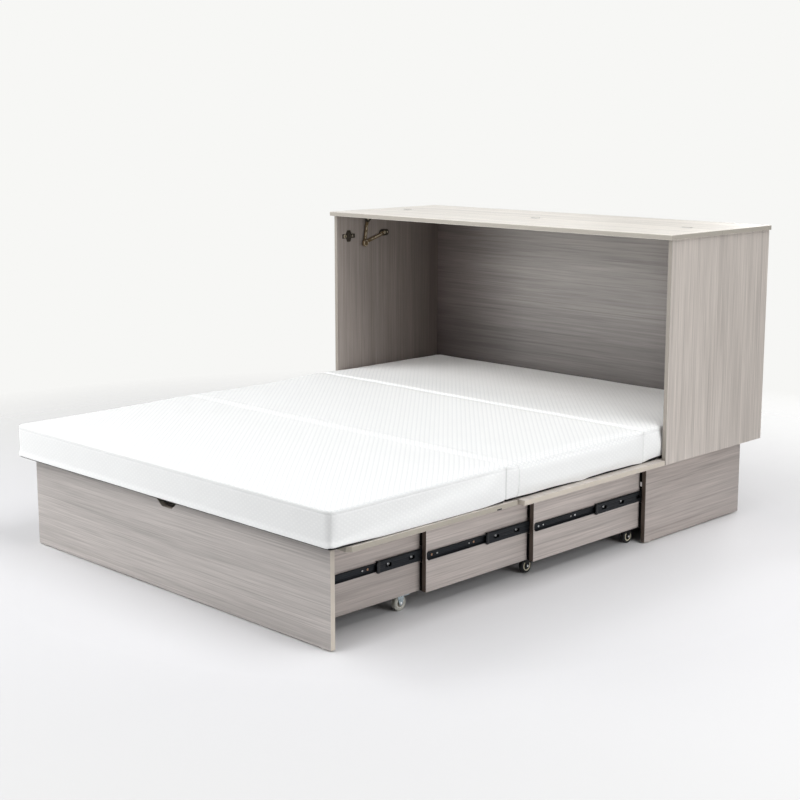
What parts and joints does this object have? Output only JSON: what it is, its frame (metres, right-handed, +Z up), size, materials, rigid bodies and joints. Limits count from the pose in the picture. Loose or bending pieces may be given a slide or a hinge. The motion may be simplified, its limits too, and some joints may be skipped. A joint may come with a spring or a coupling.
{
  "type": "folding cabinet bed",
  "caption": "Low panel cabinet that opens into a bed: hinged top flap, two folding platform boards, frames that telescope on slides and casters, and a tri-fold mattress",
  "frame": {"origin": "on the floor, under the middle of the whole opened bed", "axes": "+Z up; +Y from the foot of the bed towards the cabinet's back; +X to the right when standing at the foot and looking at the cabinet"},
  "size_m": [1.598, 2.037, 1.0362],
  "materials": {
    "laminate": "greige woodgrain laminate, fine streaks along the board",
    "laminate_upright": "greige woodgrain laminate, fine streaks standing upright",
    "slide_black": "black zinc-plated slide steel",
    "hinge_steel": "zinc-plated hinge steel",
    "stay_bronze": "dull bronze-coloured plating",
    "wheel_grey": "pale grey moulded wheel",
    "wheel_black": "black tyre with a pale hub ring",
    "mattress_fabric": "white knitted mattress cover"
  },
  "bodies": {
    "cabinet": {"side_panel_left": "laminate_upright", "side_panel_right": "laminate_upright", "back_panel": "laminate", "cabinet_deck": "laminate", "base_side_left": "laminate", "base_side_right": "laminate", "base_rear_rail": "laminate", "top_rear_board": "laminate", "flap_hinge_left": "hinge_steel", "flap_hinge_middle": "hinge_steel", "flap_hinge_right": "hinge_steel", "stay_bracket_left": "stay_bronze", "stay_bracket_right": "stay_bronze", "deck_hinge_leaf": "hinge_steel", "mattress_head": "mattress_fabric"},
    "flap": {"top_flap": "laminate", "flap_leaf_left": "hinge_steel", "flap_leaf_middle": "hinge_steel", "flap_leaf_right": "hinge_steel", "stay_foot_left": "stay_bronze", "stay_foot_right": "stay_bronze"},
    "stay_lower_left": {"stay_lower_arm_left": "stay_bronze"},
    "stay_lower_right": {"stay_lower_arm_right": "stay_bronze"},
    "stay_upper_left": {"stay_upper_arm_left": "stay_bronze"},
    "stay_upper_right": {"stay_upper_arm_right": "stay_bronze"},
    "head_board": {"platform_board_head": "laminate", "head_board_hinge_leaf": "hinge_steel", "joint_hinge_leaf_head": "hinge_steel", "mattress_middle": "mattress_fabric"},
    "foot_board": {"platform_board_foot": "laminate", "joint_hinge_leaf_foot": "hinge_steel", "mattress_foot": "mattress_fabric"},
    "frame_a": {"stage_a_side_left": "laminate", "stage_a_side_right": "laminate", "stage_a_rear_rail": "laminate", "stage_a_slide_inner_left": "slide_black", "stage_a_slide_inner_right": "slide_black"},
    "frame_b": {"stage_b_side_left": "laminate", "stage_b_side_right": "laminate", "stage_b_rear_rail": "laminate", "stage_b_slide_inner_left": "slide_black", "stage_b_slide_inner_right": "slide_black"},
    "frame_c": {"stage_c_side_left": "laminate", "stage_c_side_right": "laminate", "stage_c_rear_rail": "laminate", "stage_c_slide_inner_left": "slide_black", "stage_c_slide_inner_right": "slide_black", "foot_panel": "laminate"},
    "slides_a": {"stage_a_slide_middle_left": "slide_black", "stage_a_slide_middle_right": "slide_black"},
    "slides_b": {"stage_b_slide_middle_left": "slide_black", "stage_b_slide_middle_right": "slide_black"},
    "slides_c": {"stage_c_slide_middle_left": "slide_black", "stage_c_slide_middle_right": "slide_black"},
    "wheel_a_left": {"stage_a_wheel_left": "wheel_black"},
    "wheel_a_right": {"stage_a_wheel_right": "wheel_black"},
    "wheel_b_left": {"stage_b_wheel_left": "wheel_black"},
    "wheel_b_right": {"stage_b_wheel_right": "wheel_black"},
    "wheel_c_left": {"stage_c_wheel_left": "wheel_grey"},
    "wheel_c_right": {"stage_c_wheel_right": "wheel_grey"}
  },
  "joints": [
    {"name": "flap_open", "type": "hinge", "parent": "cabinet", "child": "flap", "pos_m": [0, 0.7145, 1.0332], "axis": [-1, 0, 0], "range_deg": [0, 95]},
    {"name": "stay_lower_left_turn", "type": "hinge", "parent": "cabinet", "child": "stay_lower_left", "pos_m": [-0.7724, 0.6965, 0.9382], "axis": [-1, 0, 0], "range_deg": [0, 95]},
    {"name": "stay_lower_right_turn", "type": "hinge", "parent": "cabinet", "child": "stay_lower_right", "pos_m": [0.7724, 0.6965, 0.9382], "axis": [-1, 0, 0], "range_deg": [0, 95]},
    {"name": "stay_upper_left_turn", "type": "hinge", "parent": "flap", "child": "stay_upper_left", "pos_m": [-0.7696, 0.5995, 0.9972], "axis": [-1, 0, 0], "range_deg": [-95, 0]},
    {"name": "stay_upper_right_turn", "type": "hinge", "parent": "flap", "child": "stay_upper_right", "pos_m": [0.7696, 0.5995, 0.9972], "axis": [-1, 0, 0], "range_deg": [-95, 0]},
    {"name": "head_board_fold", "type": "hinge", "parent": "cabinet", "child": "head_board", "pos_m": [0, 0.4385, 0.2982], "axis": [-1, 0, 0], "range_deg": [0, 88.5], "deforming": ["mattress_head", "mattress_middle", "mattress_foot"]},
    {"name": "foot_board_fold", "type": "hinge", "parent": "head_board", "child": "foot_board", "pos_m": [0, -0.2755, 0.2982], "axis": [-1, 0, 0], "range_deg": [0, 180], "deforming": ["mattress_head", "mattress_middle", "mattress_foot"]},
    {"name": "frame_a_slide", "type": "slide", "parent": "cabinet", "child": "frame_a", "axis": [0, 1, 0], "range_m": [0, 0.541]},
    {"name": "frame_b_slide", "type": "slide", "parent": "frame_a", "child": "frame_b", "axis": [0, 1, 0], "range_m": [0, 0.444]},
    {"name": "frame_c_slide", "type": "slide", "parent": "frame_b", "child": "frame_c", "axis": [0, 1, 0], "range_m": [0, 0.407]},
    {"name": "slides_a_slide", "type": "slide", "parent": "cabinet", "child": "slides_a", "axis": [0, 1, 0], "range_m": [0, 0.2705]},
    {"name": "slides_b_slide", "type": "slide", "parent": "frame_a", "child": "slides_b", "axis": [0, 1, 0], "range_m": [0, 0.222]},
    {"name": "slides_c_slide", "type": "slide", "parent": "frame_b", "child": "slides_c", "axis": [0, 1, 0], "range_m": [0, 0.2035]},
    {"name": "wheel_a_left_roll", "type": "hinge", "parent": "frame_a", "child": "wheel_a_left", "pos_m": [-0.662, 0.4125, 0.0235], "axis": [1, 0, 0], "continuous": true},
    {"name": "wheel_a_right_roll", "type": "hinge", "parent": "frame_a", "child": "wheel_a_right", "pos_m": [0.662, 0.4125, 0.0235], "axis": [1, 0, 0], "continuous": true},
    {"name": "wheel_b_left_roll", "type": "hinge", "parent": "frame_b", "child": "wheel_b_left", "pos_m": [-0.633, -0.0755, 0.0235], "axis": [1, 0, 0], "continuous": true},
    {"name": "wheel_b_right_roll", "type": "hinge", "parent": "frame_b", "child": "wheel_b_right", "pos_m": [0.633, -0.0755, 0.0235], "axis": [1, 0, 0], "continuous": true},
    {"name": "wheel_c_left_roll", "type": "hinge", "parent": "frame_c", "child": "wheel_c_left", "pos_m": [-0.604, -0.6065, 0.0235], "axis": [1, 0, 0], "continuous": true},
    {"name": "wheel_c_right_roll", "type": "hinge", "parent": "frame_c", "child": "wheel_c_right", "pos_m": [0.604, -0.6065, 0.0235], "axis": [1, 0, 0], "continuous": true}
  ],
  "couplings": [
    {"joint": "stay_lower_left_turn", "follows": "flap_open", "ratio": 1},
    {"joint": "stay_lower_right_turn", "follows": "flap_open", "ratio": 1},
    {"joint": "stay_upper_left_turn", "follows": "flap_open", "ratio": -1},
    {"joint": "stay_upper_right_turn", "follows": "flap_open", "ratio": -1},
    {"joint": "slides_a_slide", "follows": "frame_a_slide", "ratio": 0.5},
    {"joint": "slides_b_slide", "follows": "frame_b_slide", "ratio": 0.5},
    {"joint": "slides_c_slide", "follows": "frame_c_slide", "ratio": 0.5}
  ]
}
